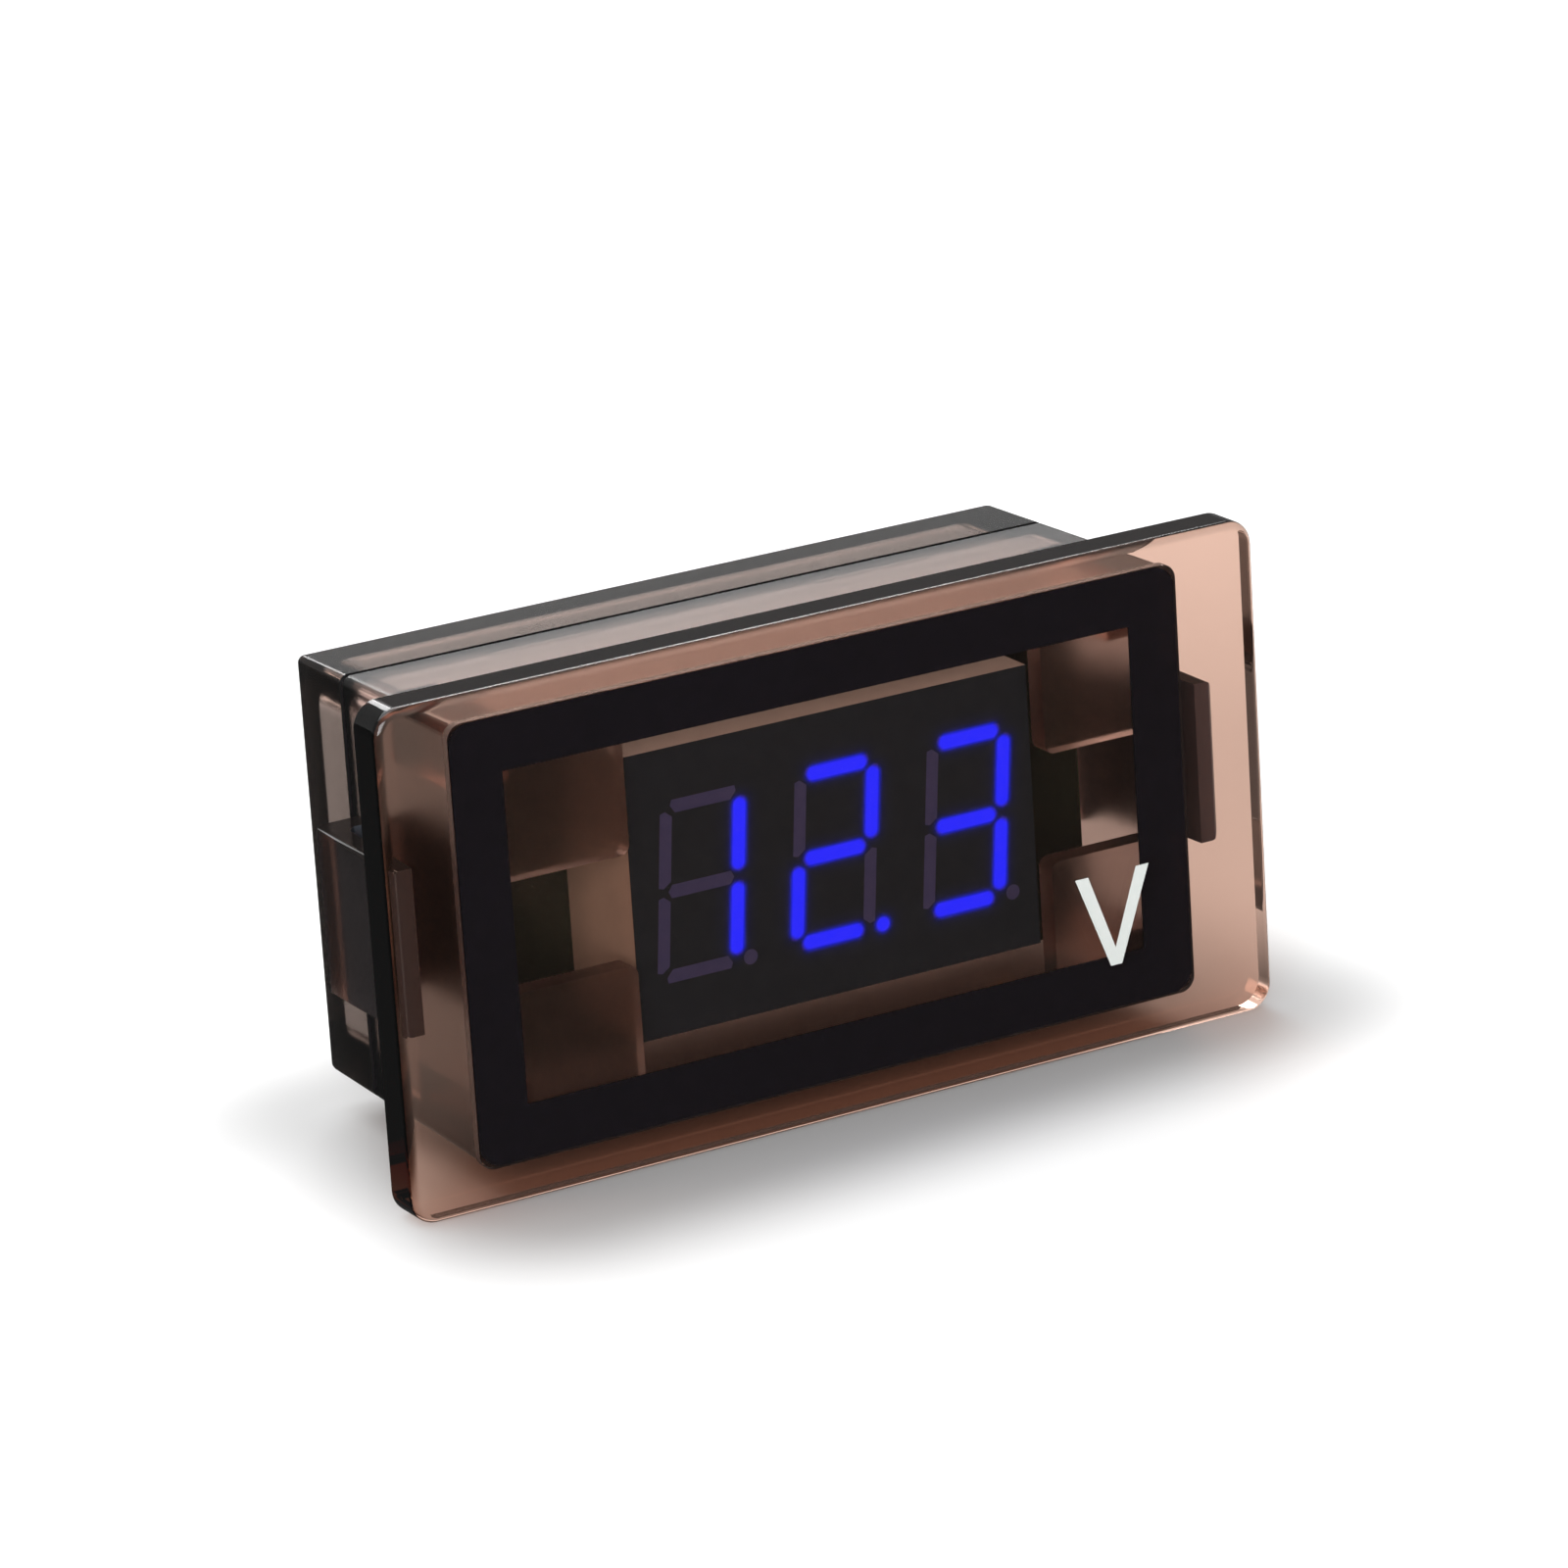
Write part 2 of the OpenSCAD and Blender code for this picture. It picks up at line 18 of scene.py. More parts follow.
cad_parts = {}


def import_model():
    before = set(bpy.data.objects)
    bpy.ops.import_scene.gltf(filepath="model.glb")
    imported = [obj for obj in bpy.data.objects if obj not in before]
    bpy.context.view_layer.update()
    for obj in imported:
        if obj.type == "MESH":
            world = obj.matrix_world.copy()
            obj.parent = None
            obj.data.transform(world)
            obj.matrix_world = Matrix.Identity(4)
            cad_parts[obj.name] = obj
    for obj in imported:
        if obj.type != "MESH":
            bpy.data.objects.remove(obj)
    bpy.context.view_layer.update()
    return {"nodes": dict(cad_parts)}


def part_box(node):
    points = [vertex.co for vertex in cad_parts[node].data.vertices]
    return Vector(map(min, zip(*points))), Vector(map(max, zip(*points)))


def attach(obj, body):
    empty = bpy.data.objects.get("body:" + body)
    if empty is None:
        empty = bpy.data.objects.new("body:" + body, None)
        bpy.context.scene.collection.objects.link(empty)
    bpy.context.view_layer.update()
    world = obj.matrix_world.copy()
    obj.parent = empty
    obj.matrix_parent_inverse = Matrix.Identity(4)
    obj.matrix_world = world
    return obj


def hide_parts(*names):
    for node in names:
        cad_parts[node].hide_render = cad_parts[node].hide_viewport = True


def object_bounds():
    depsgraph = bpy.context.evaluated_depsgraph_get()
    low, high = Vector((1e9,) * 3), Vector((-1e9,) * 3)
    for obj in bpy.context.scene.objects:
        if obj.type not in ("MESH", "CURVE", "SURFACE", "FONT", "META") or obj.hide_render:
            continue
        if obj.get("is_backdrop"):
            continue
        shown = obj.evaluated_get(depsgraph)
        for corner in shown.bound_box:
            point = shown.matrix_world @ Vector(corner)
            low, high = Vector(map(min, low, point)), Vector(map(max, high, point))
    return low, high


MM = 0.001
BODY = "root"

# Corners closer than this are one corner.
WELD = 0.001 * MM
# What lies closer than this to a flat front is part of it.
FLUSH = 0.01 * MM
# The colour sockets of a Mix node: two inputs and the result.
MIX_A, MIX_B, MIX_RESULT = 6, 7, 2

Colour = tuple[float, float, float]
Place = tuple[float, float, float]
Solids = dict[str, bpy.types.Object]
FaceTest = Callable[[bpy.types.MeshPolygon], bool]

logging.basicConfig(level=logging.INFO, format="%(name)s: %(message)s")
log = logging.getLogger("panel_meter")


# ---- Shader helpers ----


class Tree:
    """Adds nodes and links to one node tree."""

    def __init__(self, tree: bpy.types.NodeTree) -> None:
        """Keeps the tree that this helper works on."""
        self.tree = tree

    def add(self, kind: str, inputs: dict | None = None, **settings: object) -> bpy.types.Node:
        """Adds one node.

        Args:
            kind: the node's type, without the word ShaderNode.
            inputs: plain values for its input sockets, by socket name or number.
            **settings: values for the node's own properties.

        Returns:
            The new node.
        """
        node = self.tree.nodes.new("ShaderNode" + kind)
        for name, value in settings.items():
            setattr(node, name, value)
        for name, value in (inputs or {}).items():
            socket = node.inputs[name]
            needs_alpha = socket.type == "RGBA" and len(value) == 3
            socket.default_value = (*value, 1.0) if needs_alpha else value
        return node

    def join(self, value: bpy.types.NodeSocket, target: bpy.types.Node, name: str | int) -> None:
        """Links an output socket to an input socket of target."""
        self.tree.links.new(value, target.inputs[name])

    def link(self, source: bpy.types.Node, output: str | int,
             target: bpy.types.Node, name: str | int) -> None:
        """Links an output of source to an input of target, each by its name or number."""
        self.join(source.outputs[output], target, name)

    def math(self, operation: str, first: object, second: object) -> bpy.types.NodeSocket:
        """Adds a Math node.

        Args:
            operation: the Math node's operation.
            first: a plain number or an output socket.
            second: the same for the second input.

        Returns:
            The socket with the result.
        """
        node = self.add("Math", operation=operation)
        for i, value in enumerate((first, second)):
            if isinstance(value, bpy.types.NodeSocket):
                self.join(value, node, i)
            else:
                node.inputs[i].default_value = value
        return node.outputs[0]


class Effect(Enum):
    """The shared shader groups."""

    MOULDED = "moulded_skin"
    MOTTLE = "mottled_colour"
    WEAVE = "glass_fibre_weave"


class EffectLibrary:
    """Builds each shared shader group once and places it in materials."""

    NUMBER = "NodeSocketFloat"
    COLOUR = "NodeSocketColor"
    FINE_HEIGHT = 0.06
    MOTTLE_FROM = 0.32
    MOTTLE_TO = 0.68

    def __init__(self) -> None:
        """Builds the three groups."""
        self.groups = {Effect.MOULDED: self._moulded(), Effect.MOTTLE: self._mottle(),
                       Effect.WEAVE: self._weave()}

    def place(self, tree: Tree, effect: Effect, inputs: dict) -> bpy.types.Node:
        """Places a shared group in a material, with the material's own values for its inputs."""
        return tree.add("Group", inputs, node_tree=self.groups[effect])

    @staticmethod
    def _start(effect: Effect, sockets: dict[str, str], results: dict[str, str]
               ) -> tuple[Tree, bpy.types.Node, bpy.types.Node, bpy.types.Node]:
        """Makes an empty group with its sockets and object coordinates.

        Args:
            effect: which group this will be.
            sockets: input names and socket types.
            results: output names and socket types.

        Returns:
            The tree helper, the input node, the output node and the coordinate node.
        """
        group = bpy.data.node_groups.new(effect.value, "ShaderNodeTree")
        for name, kind in sockets.items():
            group.interface.new_socket(name, in_out="INPUT", socket_type=kind)
        for name, kind in results.items():
            group.interface.new_socket(name, in_out="OUTPUT", socket_type=kind)
        tree = Tree(group)
        given, out = (group.nodes.new("NodeGroup" + side) for side in ("Input", "Output"))
        return tree, given, out, tree.add("TexCoord")

    @staticmethod
    def _blend(tree: Tree, given: bpy.types.Node, names: tuple[str, str],
               share: bpy.types.NodeSocket) -> bpy.types.NodeSocket:
        """Mixes two of a group's own colours.

        Args:
            tree: the group's tree.
            given: its input node.
            names: the two colours' sockets.
            share: how much of the second colour shows.

        Returns:
            The socket with the mixed colour.
        """
        mix = tree.add("Mix", data_type="RGBA")
        tree.join(share, mix, 0)
        tree.link(given, names[0], mix, MIX_A)
        tree.link(given, names[1], mix, MIX_B)
        return mix.outputs[MIX_RESULT]

    def _moulded(self) -> bpy.types.NodeTree:
        """Builds the skin of a moulding: broad flow waves and a fine grain.

        Returns:
            The group's tree.
        """
        tree, given, out, place = self._start(
            Effect.MOULDED,
            {"Wave Scale": self.NUMBER, "Grain Scale": self.NUMBER, "Roughness": self.NUMBER,
             "Spread": self.NUMBER},
            {"Roughness": self.NUMBER, "Height": self.NUMBER})
        wave = tree.add("TexNoise", {"Detail": 1.0, "Distortion": 0.6})
        grain = tree.add("TexNoise", {"Detail": 3.0, "Roughness": 0.6})
        for noise, scale in ((wave, "Wave Scale"), (grain, "Grain Scale")):
            tree.link(place, "Object", noise, "Vector")
            tree.link(given, scale, noise, "Scale")
        centred = tree.math("SUBTRACT", grain.outputs[0], 0.5)
        spread = tree.math("MULTIPLY", centred, given.outputs["Spread"])
        tree.join(tree.math("ADD", given.outputs["Roughness"], spread), out, "Roughness")
        fine = tree.math("MULTIPLY", grain.outputs[0], self.FINE_HEIGHT)
        tree.join(tree.math("ADD", wave.outputs[0], fine), out, "Height")
        return tree.tree

    def _mottle(self) -> bpy.types.NodeTree:
        """Builds a soft, uneven mix of two close colours.

        Returns:
            The group's tree.
        """
        tree, given, out, place = self._start(
            Effect.MOTTLE, {"First": self.COLOUR, "Second": self.COLOUR, "Scale": self.NUMBER},
            {"Color": self.COLOUR})
        noise = tree.add("TexNoise", {"Detail": 4.0, "Roughness": 0.65})
        tree.link(place, "Object", noise, "Vector")
        tree.link(given, "Scale", noise, "Scale")
        share = tree.add("MapRange", {"From Min": self.MOTTLE_FROM, "From Max": self.MOTTLE_TO})
        tree.link(noise, 0, share, 0)
        colour = self._blend(tree, given, ("First", "Second"), share.outputs[0])
        tree.join(colour, out, "Color")
        return tree.tree

    def _weave(self) -> bpy.types.NodeTree:
        """Builds the cross weave of glass-fibre board, seen through its resin.

        Returns:
            The group's tree.
        """
        tree, given, out, place = self._start(
            Effect.WEAVE, {"Dark": self.COLOUR, "Light": self.COLOUR, "Scale": self.NUMBER},
            {"Color": self.COLOUR})
        bands = []
        for direction in ("X", "Z"):
            wave = tree.add("TexWave", {"Distortion": 0.4, "Detail": 1.0},
                            bands_direction=direction)
            tree.link(place, "Object", wave, "Vector")
            tree.link(given, "Scale", wave, "Scale")
            bands.append(wave.outputs["Fac"])
        cross = tree.math("MULTIPLY", *bands)
        tree.join(self._blend(tree, given, ("Dark", "Light"), cross), out, "Color")
        return tree.tree


# ---- Finishes ----


@dataclass(frozen=True)
class Finish:
    """A material with a mottled colour over a moulded or drawn skin."""

    name: str
    first: Colour
    second: Colour
    mottle: float = 900.0
    roughness: float = 0.4
    spread: float = 0.15
    wave: float = 300.0
    grain: float = 4000.0
    bump: float = 0.05
    bump_height: float = 0.1 * MM
    metallic: float = 0.0
    specular: float = 0.5
    coat: float = 0.0
    coat_roughness: float = 0.08

    def make(self, effects: EffectLibrary) -> bpy.types.Material:
        """Builds the material.

        Args:
            effects: the shared shader groups.

        Returns:
            The new material.
        """
        material = bpy.data.materials.new(self.name)
        material.use_nodes = True
        material.node_tree.nodes.clear()
        tree = Tree(material.node_tree)
        surface = tree.add("BsdfPrincipled", {"Metallic": self.metallic,
                                              "Coat Weight": self.coat,
                                              "Coat Roughness": self.coat_roughness,
                                              "Specular IOR Level": self.specular})
        out = tree.add("OutputMaterial")
        tree.link(surface, 0, out, "Surface")
        self._skin(tree, effects, surface)
        self._colour(tree, effects, surface)
        self._complete(tree, surface, out)
        return material

    def _skin(self, tree: Tree, effects: EffectLibrary, surface: bpy.types.Node) -> None:
        """Drives roughness and normal from the moulded skin.

        Args:
            tree: the material's tree.
            effects: the shared shader groups.
            surface: the material's Principled shader.
        """
        skin = effects.place(tree, Effect.MOULDED,
                             {"Wave Scale": self.wave, "Grain Scale": self.grain,
                              "Roughness": self.roughness, "Spread": self.spread})
        bump = tree.add("Bump", {"Strength": self.bump, "Distance": self.bump_height})
        tree.link(skin, "Roughness", surface, "Roughness")
        tree.link(skin, "Height", bump, "Height")
        tree.link(bump, 0, surface, "Normal")

    def _colour(self, tree: Tree, effects: EffectLibrary, surface: bpy.types.Node) -> None:
        """Drives the base colour from the mottled mix.

        Args:
            tree: the material's tree.
            effects: the shared shader groups.
            surface: the material's Principled shader.
        """
        mottle = effects.place(tree, Effect.MOTTLE,
                               {"First": self.first, "Second": self.second,
                                "Scale": self.mottle})
        tree.link(mottle, "Color", surface, "Base Color")

    def _complete(self, tree: Tree, surface: bpy.types.Node, out: bpy.types.Node) -> None:
        """Adds what only a special kind of finish has, and nothing to a plain one."""


@dataclass(frozen=True)
class Laminate(Finish):
    """Glass-fibre board with its weave showing under the resin."""

    weave: float = 420.0

    def _colour(self, tree: Tree, effects: EffectLibrary, surface: bpy.types.Node) -> None:
        """Drives the base colour from the weave.

        Args:
            tree: the material's tree.
            effects: the shared shader groups.
            surface: the material's Principled shader.
        """
        weave = effects.place(tree, Effect.WEAVE, {"Dark": self.first, "Light": self.second,
                                                   "Scale": self.weave})
        tree.link(weave, "Color", surface, "Base Color")


@dataclass(frozen=True)
class SmokePlastic(Finish):
    """Clear polycarbonate with a smoke-brown tint that grows with its thickness."""

    density: float = 400.0
    tint: Colour = (0.85, 0.41, 0.17)
    ior: float = 1.5
    passing: Colour = (0.82, 0.81, 0.8)

    def _complete(self, tree: Tree, surface: bpy.types.Node, out: bpy.types.Node) -> None:
        """Clears and tints the plastic, and lets lamps and soft light through to what it holds.

        Args:
            tree: the material's tree.
            surface: the material's Principled shader.
            out: the material's output.
        """
        surface.inputs["Transmission Weight"].default_value = 1.0
        surface.inputs["IOR"].default_value = self.ior
        path = tree.add("LightPath")
        lights_inside = tree.math("MAXIMUM", path.outputs["Is Shadow Ray"],
                                  path.outputs["Is Diffuse Ray"])
        sheet = tree.add("BsdfTransparent", {"Color": self.passing})
        mix = tree.add("MixShader")
        tree.join(lights_inside, mix, 0)
        tree.link(surface, 0, mix, 1)
        tree.link(sheet, 0, mix, 2)
        tree.link(mix, 0, out, "Surface")
        inside = tree.add("VolumeAbsorption", {"Color": self.tint, "Density": self.density})
        tree.link(inside, 0, out, "Volume")


@dataclass(frozen=True)
class GlowFinish(Finish):
    """A surface that also glows where the light of the lit bars reaches it."""

    glow: Colour = (0.003, 0.01, 1.0)
    strength: float = 1.7

    def _complete(self, tree: Tree, surface: bpy.types.Node, out: bpy.types.Node) -> None:
        """Takes the glow from the light values that the piece carries.

        Args:
            tree: the material's tree.
            surface: the material's Principled shader.
            out: the material's output; not used here.
        """
        light = tree.add("Attribute", attribute_name=LampField.ATTRIBUTE)
        mix = tree.add("Mix", {MIX_A: (0.0, 0.0, 0.0), MIX_B: self.glow}, data_type="RGBA")
        tree.link(light, "Fac", mix, 0)
        tree.link(mix, MIX_RESULT, surface, "Emission Color")
        surface.inputs["Emission Strength"].default_value = self.strength


class Palette:
    """Makes each finish once, on first use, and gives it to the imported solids."""

    def __init__(self, effects: EffectLibrary, solids: Solids) -> None:
        """Starts with nothing made.

        Args:
            effects: the shared shader groups.
            solids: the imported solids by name.
        """
        self.effects = effects
        self.solids = solids
        self.made: dict[str, bpy.types.Material] = {}

    def material(self, finish: Finish) -> bpy.types.Material:
        """Returns the material of a finish, made on first use.

        Args:
            finish: the finish.

        Returns:
            Its material.
        """
        if finish.name not in self.made:
            self.made[finish.name] = finish.make(self.effects)
        return self.made[finish.name]

    def dress(self, name: str, finish: Finish) -> None:
        """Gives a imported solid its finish.

        Args:
            name: the solid's name.
            finish: its finish.
        """
        materials = self.solids[name].data.materials
        materials.clear()
        materials.append(self.material(finish))
        log.info("%s dressed in %s", name, finish.name)

    def dress_faces(self, name: str, finish: Finish, chosen: FaceTest) -> None:
        """Gives some faces of a dressed solid one more finish.

        Args:
            name: the solid's name.
            finish: the finish of those faces.
            chosen: tells which faces get it.
        """
        mesh = self.solids[name].data
        mesh.materials.append(self.material(finish))
        faces = [face for face in mesh.polygons if chosen(face)]
        for face in faces:
            face.material_index = len(mesh.materials) - 1
        log.info("%s: %d faces in %s", name, len(faces), finish.name)


# ---- Mesh helpers ----


def welded(mesh: bpy.types.Mesh) -> bmesh.types.BMesh:
    """Copies a mesh for editing and joins its touching corners.

    Args:
        mesh: the mesh to copy.

    Returns:
        The editable copy.
    """
    work = bmesh.new()
    work.from_mesh(mesh)
    bmesh.ops.remove_doubles(work, verts=work.verts, dist=WELD)
    return work


def new_piece(name: str, work: bmesh.types.BMesh) -> bpy.types.Object:
    """Turns an editable mesh into a piece of the scene.

    Args:
        name: the piece's name.
        work: the editable mesh, which is freed.

    Returns:
        The new piece.
    """
    mesh = bpy.data.meshes.new(name)
    work.to_mesh(mesh)
    work.free()
    piece = bpy.data.objects.new(name, mesh)
    bpy.context.scene.collection.objects.link(piece)
    return piece


def fine_front(source: bpy.types.Object, name: str, step: float) -> bpy.types.Object:
    """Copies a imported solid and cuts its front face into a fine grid.

    Args:
        source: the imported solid.
        name: the new piece's name.
        step: distance between the cuts.

    Returns:
        The new piece, with the same shape.
    """
    work = welded(source.data)
    corners = np.array([v.co for v in work.verts])
    low, high = corners.min(0), corners.max(0)
    front = low[1] + FLUSH
    for axis in (0, 2):
        normal = Vector((0, 0, 0))
        normal[axis] = 1
        for k in range(1, int((high[axis] - low[axis]) / step) + 1):
            point = Vector((0, 0, 0))
            point[axis] = low[axis] + k * step
            faces = [f for f in work.faces if all(v.co.y < front for v in f.verts)
                     and min(v.co[axis] for v in f.verts) < point[axis]
                     < max(v.co[axis] for v in f.verts)]
            edges = dict.fromkeys(e for f in faces for e in f.edges)
            verts = dict.fromkeys(v for f in faces for v in f.verts)
            bmesh.ops.bisect_plane(work, geom=[*faces, *edges, *verts], plane_co=point,
                                   plane_no=normal, dist=WELD / 10)
    return new_piece(name, work)


# ---- Light of the display ----


@dataclass
class LampField:
    """How far the light of the lit bars reaches over the display's face.

    The light is full within core of a bar's middle line and drops over edge past it. The share
    in halo_share drops more slowly, over halo. The middle line ends end_gap before the bar does.
    """

    nodes: tuple[str, ...]
    core: float = 0.275 * MM
    edge: float = 0.12 * MM
    halo: float = 0.16 * MM
    halo_share: float = 0.16
    end_gap: float = 0.5 * MM
    lamps: list[tuple[np.ndarray, np.ndarray]] = field(default_factory=list)

    ATTRIBUTE = "lamp_light"

    def read(self, solids: Solids) -> None:
        """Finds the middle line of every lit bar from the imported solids.

        Args:
            solids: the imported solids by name.
        """
        for name in self.nodes:
            for points in self._islands(solids[name].data):
                flat = points[:, [0, 2]]
                middle = (flat.max(0) + flat.min(0)) / 2
                around = flat - middle
                axis = np.linalg.svd(around, full_matrices=False)[2][0]
                reach = max(np.abs(around @ axis).max() - self.end_gap, 0.0)
                self.lamps.append((middle - axis * reach, middle + axis * reach))

    @staticmethod
    def _islands(mesh: bpy.types.Mesh) -> list[np.ndarray]:
        """Splits a mesh into its separate solids.

        Args:
            mesh: the mesh to split.

        Returns:
            The corners of each solid.
        """
        work = welded(mesh)
        found, seen = [], set()
        for first in work.verts:
            if first in seen:
                continue
            seen.add(first)
            todo, island = [first], []
            while todo:
                corner = todo.pop()
                island.append(corner.co[:])
                for edge in corner.link_edges:
                    other = edge.other_vert(corner)
                    if other not in seen:
                        seen.add(other)
                        todo.append(other)
            found.append(np.array(island))
        work.free()
        return found

    def paint(self, mesh: bpy.types.Mesh) -> None:
        """Stores the light that reaches each corner of a mesh.

        Args:
            mesh: the mesh that gets the values.
        """
        points = np.zeros(len(mesh.vertices) * 3)
        mesh.vertices.foreach_get("co", points)
        flat = points.reshape(-1, 3)[:, [0, 2]]
        nearest = np.full(len(flat), np.inf)
        for start, end in self.lamps:
            line = end - start
            length = max(line @ line, np.finfo(float).tiny)
            along = np.clip(((flat - start) @ line) / length, 0.0, 1.0)
            gap = np.linalg.norm(flat - start - along[:, None] * line, axis=1)
            nearest = np.minimum(nearest, gap)
        past = np.maximum(nearest - self.core, 0.0)
        light = np.exp(-((past / self.edge) ** 2)) * (1 - self.halo_share)
        light += np.exp(-past / self.halo) * self.halo_share
        layer = mesh.attributes.new(self.ATTRIBUTE, "FLOAT", "POINT")
        layer.data.foreach_set("value", light.astype(np.float32))


# ---- Sub-assemblies ----


@dataclass(frozen=True)
class TrappedLight:
    """Picks the faces that get painted shade, because light is trapped in the plastic behind them.
    """

    pocket: tuple[Vector, Vector]
    crest: float
    seam: float
    pocket_reach: float = 0.15 * MM
    crest_reach: float = 0.02 * MM
    seam_reach: float = 0.3 * MM
    facing: float = 0.5
    level: float = 0.99
    rim_lean: float = 0.2

    def on_pocket_wall(self, face: bpy.types.MeshPolygon) -> bool:
        """Tells whether a face is a wall of the bezel's pocket."""
        (low, high), reach = self.pocket, self.pocket_reach
        return (abs(face.normal.y) < self.facing
                and low.x - reach < face.center.x < high.x + reach
                and low.z - reach < face.center.z < high.z + reach)

    def on_crest(self, face: bpy.types.MeshPolygon) -> bool:
        """Tells whether a face is on the bezel's flat top."""
        return (face.normal.z > self.level
                and face.center.z > self.crest - self.crest_reach)

    def _on_clip(self, face: bpy.types.MeshPolygon, side: int) -> bool:
        """Tells whether a face stands out past the pocket on one side, as a clip does.

        Args:
            face: the face.
            side: -1 for the left side and 1 for the right.

        Returns:
            True if it does.
        """
        low, high = self.pocket
        edge = high.x if side > 0 else -low.x
        return side * face.center.x > edge + self.pocket_reach

    def _turned_away(self, face: bpy.types.MeshPolygon, side: int) -> bool:
        """Tells whether a face is on the tip or the inner side of the clip on one side."""
        inward = -side * face.normal.x
        return self._on_clip(face, side) and max(inward, -face.normal.y) > self.facing

    def on_right_clip(self, face: bpy.types.MeshPolygon) -> bool:
        """Tells whether a face is on the tip or the inner side of the right clip."""
        return self._turned_away(face, 1)

    def on_left_clip(self, face: bpy.types.MeshPolygon) -> bool:
        """Tells whether a face is on the tip or the inner side of the left clip."""
        return self._turned_away(face, -1)

    def on_clip_top(self, face: bpy.types.MeshPolygon) -> bool:
        """Tells whether a face is the upper end of a clip."""
        return (face.normal.z > self.facing
                and (self._on_clip(face, -1) or self._on_clip(face, 1)))

    def on_seam(self, face: bpy.types.MeshPolygon) -> bool:
        """Tells whether a face is on the chamfers or the meeting rims of the seam."""
        return (abs(face.center.y - self.seam) < self.seam_reach
                and abs(face.normal.y) > self.rim_lean)


@dataclass
class Housing:
    """The three smoke-tinted mouldings: bezel, body and rear cover."""

    bezel: SmokePlastic = SmokePlastic(
        "smoke_bezel", (1.0, 1.0, 1.0), (0.97, 0.97, 0.97), mottle=120.0, roughness=0.02,
        spread=0.03, wave=60.0, grain=2500.0, bump=0.01)
    body: SmokePlastic = SmokePlastic(
        "smoke_body", (1.0, 1.0, 1.0), (0.95, 0.95, 0.95), mottle=150.0, roughness=0.3,
        spread=0.05, wave=90.0, grain=2500.0, bump=0.03, density=600.0,
        tint=(0.58, 0.38, 0.3), passing=(0.47, 0.46, 0.45))
    cover: SmokePlastic = SmokePlastic(
        "smoke_cover", (1.0, 1.0, 1.0), (0.95, 0.95, 0.95), mottle=150.0, roughness=0.18,
        spread=0.05, wave=90.0, grain=2500.0, bump=0.03, density=700.0,
        tint=(0.5, 0.4, 0.35), passing=(0.6, 0.58, 0.57))
    # Painted shade: the bezel's pocket walls and the tip and inner side of the left clip are
    # painted near black.
    deep_shade: Finish = Finish(
        "painted_deep_shade", (0.04, 0.055, 0.075), (0.046, 0.062, 0.082), roughness=0.5, spread=0.1,
        grain=3000.0)
    # Painted shade: the tip and inner side of the right clip, seen through the bezel, are painted
    # dark grey.
    shade: Finish = Finish(
        "painted_clip_shade", (0.088, 0.13, 0.195), (0.098, 0.145, 0.215), mottle=300.0, spread=0.1,
        wave=120.0, grain=2500.0, bump=0.03)
    # Painted shade: the chamfers and meeting rims where body and cover join are painted near
    # black.
    seam: Finish = Finish(
        "painted_seam_shade", (0.008, 0.008, 0.009), (0.012, 0.011, 0.011), roughness=0.3, spread=0.2,
        grain=3000.0, specular=0.05)
    # Painted shade: the bezel's flat top and the upper ends of the clips are painted near black.
    edge: Finish = Finish(
        "painted_top_shade", (0.012, 0.01, 0.01), (0.016, 0.013, 0.012), roughness=0.1, spread=0.05,
        grain=3000.0, bump=0.02, specular=0.06)

    def build(self, palette: Palette) -> None:
        """Dresses the mouldings, and paints shade on the faces of each that read dark.

        Args:
            palette: makes the finishes.
        """
        palette.dress("bezel", self.bezel)
        palette.dress("body", self.body)
        palette.dress("rear_cover", self.cover)
        dark = TrappedLight(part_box("printed_frame"), crest=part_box("bezel")[1].z,
                            seam=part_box("body")[1].y)
        palette.dress_faces("bezel", self.deep_shade, dark.on_pocket_wall)
        palette.dress_faces("bezel", self.edge, dark.on_crest)
        palette.dress_faces("body", self.shade, dark.on_right_clip)
        palette.dress_faces("body", self.deep_shade, dark.on_left_clip)
        palette.dress_faces("body", self.edge, dark.on_clip_top)
        for name in ("body", "rear_cover"):
            palette.dress_faces(name, self.seam, dark.on_seam)


